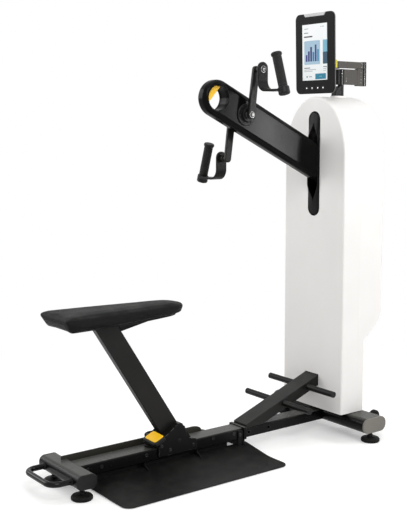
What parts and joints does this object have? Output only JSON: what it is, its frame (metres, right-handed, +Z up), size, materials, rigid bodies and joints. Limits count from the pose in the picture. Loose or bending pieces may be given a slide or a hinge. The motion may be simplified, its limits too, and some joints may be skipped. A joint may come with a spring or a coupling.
{
  "type": "arm ergometer",
  "caption": "Upright arm ergometer: white column, tilting black boom with hand cranks, swing-arm touch console, bench seat on a low rail",
  "frame": {"origin": "centre of the bounding box, on the floor", "axes": "+Z up, +Y from the seat towards the column, +X to the user's right, across the crank axle"},
  "size_m": [0.568, 1.52, 1.6674],
  "materials": {
    "black_paint": "satin black powder coat",
    "grey_paint": "satin dark grey powder coat",
    "gloss_black": "glossy black paint",
    "white_shell": "satin white moulding",
    "rubber": "black rubber",
    "leatherette": "black synthetic leather",
    "steel": "bare steel",
    "signal_yellow": "yellow moulding",
    "dark_plastic": "dark matt moulding",
    "screen": "lit screen",
    "light_bar": "pale diffuser",
    "grey_plastic": "grey matt moulding"
  },
  "bodies": {
    "frame": {"front_stabilizer": "black_paint", "rear_stabilizer": "black_paint", "carrying_loop": "black_paint", "seat_rail": "grey_paint", "lower_beam": "black_paint", "sloped_beam": "grey_paint", "upper_foot_peg": "black_paint", "lower_foot_peg": "black_paint", "footplate": "black_paint", "rail_side_strip": "grey_paint", "front_shell": "white_shell", "rear_shell": "white_shell", "slot_trim": "rubber", "left_slot_lip": "rubber", "right_slot_lip": "rubber", "column_spine": "black_paint", "left_pivot_cheek": "black_paint", "right_pivot_cheek": "black_paint", "console_arm_post": "grey_paint", "arm_post_cowl": "dark_plastic", "brake_controller": "dark_plastic"},
    "boom": {"boom_housing": "gloss_black", "drive_belt": "rubber", "left_crank_bearing": "black_paint", "right_crank_bearing": "black_paint"},
    "release_trigger": {"boom_release_trigger": "signal_yellow"},
    "cranks": {"crank_axle": "steel", "left_crank": "grey_paint", "right_crank": "grey_paint"},
    "left_handle": {"left_handle_bracket": "black_paint", "left_hand_grip": "rubber"},
    "right_handle": {"right_handle_bracket": "black_paint", "right_hand_grip": "rubber"},
    "flywheel_shaft": {"driven_pulley_shaft": "steel", "flywheel": "steel"},
    "seat_carriage": {"carriage_base": "black_paint", "left_carriage_plate": "black_paint", "right_carriage_plate": "black_paint", "post_socket": "black_paint", "seat_post": "grey_paint", "seat_pan": "black_paint", "seat_cushion": "leatherette"},
    "release_paddle": {"seat_release_paddle": "black_paint", "paddle_pad": "signal_yellow"},
    "rail_clamp": {"rail_clamp_foot": "rubber"},
    "lower_arm": {"lower_arm_link": "grey_paint"},
    "upper_arm": {"upper_arm_link": "grey_paint"},
    "swivel": {"swivel_knuckle": "signal_yellow"},
    "console": {"console_bezel": "dark_plastic", "console_back": "grey_plastic", "console_screen": "screen", "console_light_bar": "light_bar"},
    "front_left_foot": {"front_left_levelling_foot": "rubber"},
    "front_right_foot": {"front_right_levelling_foot": "rubber"},
    "rear_left_foot": {"rear_left_levelling_foot": "rubber"},
    "rear_right_foot": {"rear_right_levelling_foot": "rubber"},
    "left_wheel": {"left_transport_wheel": "rubber"},
    "right_wheel": {"right_transport_wheel": "rubber"}
  },
  "joints": [
    {"name": "boom_tilt", "type": "hinge", "parent": "frame", "child": "boom", "pos_m": [0, 0.59125, 1.037], "axis": [-1, 0, 0], "range_deg": [-44, 18], "deforming": ["left_slot_lip", "right_slot_lip"]},
    {"name": "boom_release", "type": "slide", "parent": "boom", "child": "release_trigger", "axis": [0, -0.7314, 0.682], "range_m": [0, 0.008], "stiffness_N_per_m": 400, "springref_m": -0.005},
    {"name": "crank_spin", "type": "hinge", "parent": "boom", "child": "cranks", "pos_m": [0, 0.11129, 1.27109], "axis": [1, 0, 0], "continuous": true},
    {"name": "left_handle_turn", "type": "hinge", "parent": "cranks", "child": "left_handle", "pos_m": [-0.096, 0.09033, 1.10743], "axis": [1, 0, 0], "continuous": true},
    {"name": "right_handle_turn", "type": "hinge", "parent": "cranks", "child": "right_handle", "pos_m": [0.096, 0.13226, 1.43475], "axis": [1, 0, 0], "continuous": true},
    {"name": "flywheel_spin", "type": "hinge", "parent": "frame", "child": "flywheel_shaft", "pos_m": [0, 0.59125, 1.037], "axis": [1, 0, 0], "continuous": true},
    {"name": "seat_travel", "type": "slide", "parent": "frame", "child": "seat_carriage", "axis": [0, 1, 0], "range_m": [-0.2, 0.15]},
    {"name": "paddle_press", "type": "hinge", "parent": "seat_carriage", "child": "release_paddle", "pos_m": [0, -0.29075, 0.118], "axis": [1, 0, 0], "range_deg": [0, 6], "stiffness_Nm_per_rad": 1.5, "springref_deg": -8.59},
    {"name": "clamp_lift", "type": "slide", "parent": "seat_carriage", "child": "rail_clamp", "axis": [0, 0, 1], "range_m": [0, 0.0021]},
    {"name": "lower_arm_turn", "type": "hinge", "parent": "frame", "child": "lower_arm", "pos_m": [0, 0.62125, 1.423], "axis": [0, 0, 1], "range_deg": [-25, 25]},
    {"name": "upper_arm_turn", "type": "hinge", "parent": "lower_arm", "child": "upper_arm", "pos_m": [0, 0.74725, 1.472], "axis": [0, 0, 1], "range_deg": [-30, 30]},
    {"name": "console_swivel", "type": "hinge", "parent": "upper_arm", "child": "swivel", "pos_m": [0, 0.58525, 1.4745], "axis": [0, 0, 1], "range_deg": [-30, 30]},
    {"name": "console_tilt", "type": "hinge", "parent": "swivel", "child": "console", "pos_m": [0, 0.52525, 1.4745], "axis": [-1, 0, 0], "range_deg": [-10, 15]},
    {"name": "front_left_foot_turn", "type": "hinge", "parent": "frame", "child": "front_left_foot", "pos_m": [-0.247, 0.56825, 0.02], "axis": [0, 0, 1], "continuous": true},
    {"name": "front_right_foot_turn", "type": "hinge", "parent": "frame", "child": "front_right_foot", "pos_m": [0.247, 0.56825, 0.02], "axis": [0, 0, 1], "continuous": true},
    {"name": "rear_left_foot_turn", "type": "hinge", "parent": "frame", "child": "rear_left_foot", "pos_m": [-0.097, -0.63975, 0.02], "axis": [0, 0, 1], "continuous": true},
    {"name": "rear_right_foot_turn", "type": "hinge", "parent": "frame", "child": "rear_right_foot", "pos_m": [0.097, -0.63975, 0.02], "axis": [0, 0, 1], "continuous": true},
    {"name": "left_wheel_spin", "type": "hinge", "parent": "frame", "child": "left_wheel", "pos_m": [-0.182, 0.65575, 0.0695], "axis": [1, 0, 0], "continuous": true},
    {"name": "right_wheel_spin", "type": "hinge", "parent": "frame", "child": "right_wheel", "pos_m": [0.182, 0.65575, 0.0695], "axis": [1, 0, 0], "continuous": true}
  ],
  "couplings": [
    {"joint": "flywheel_spin", "follows": "crank_spin", "ratio": 2.7778},
    {"joint": "clamp_lift", "follows": "paddle_press", "m_per_rad": 0.02}
  ]
}
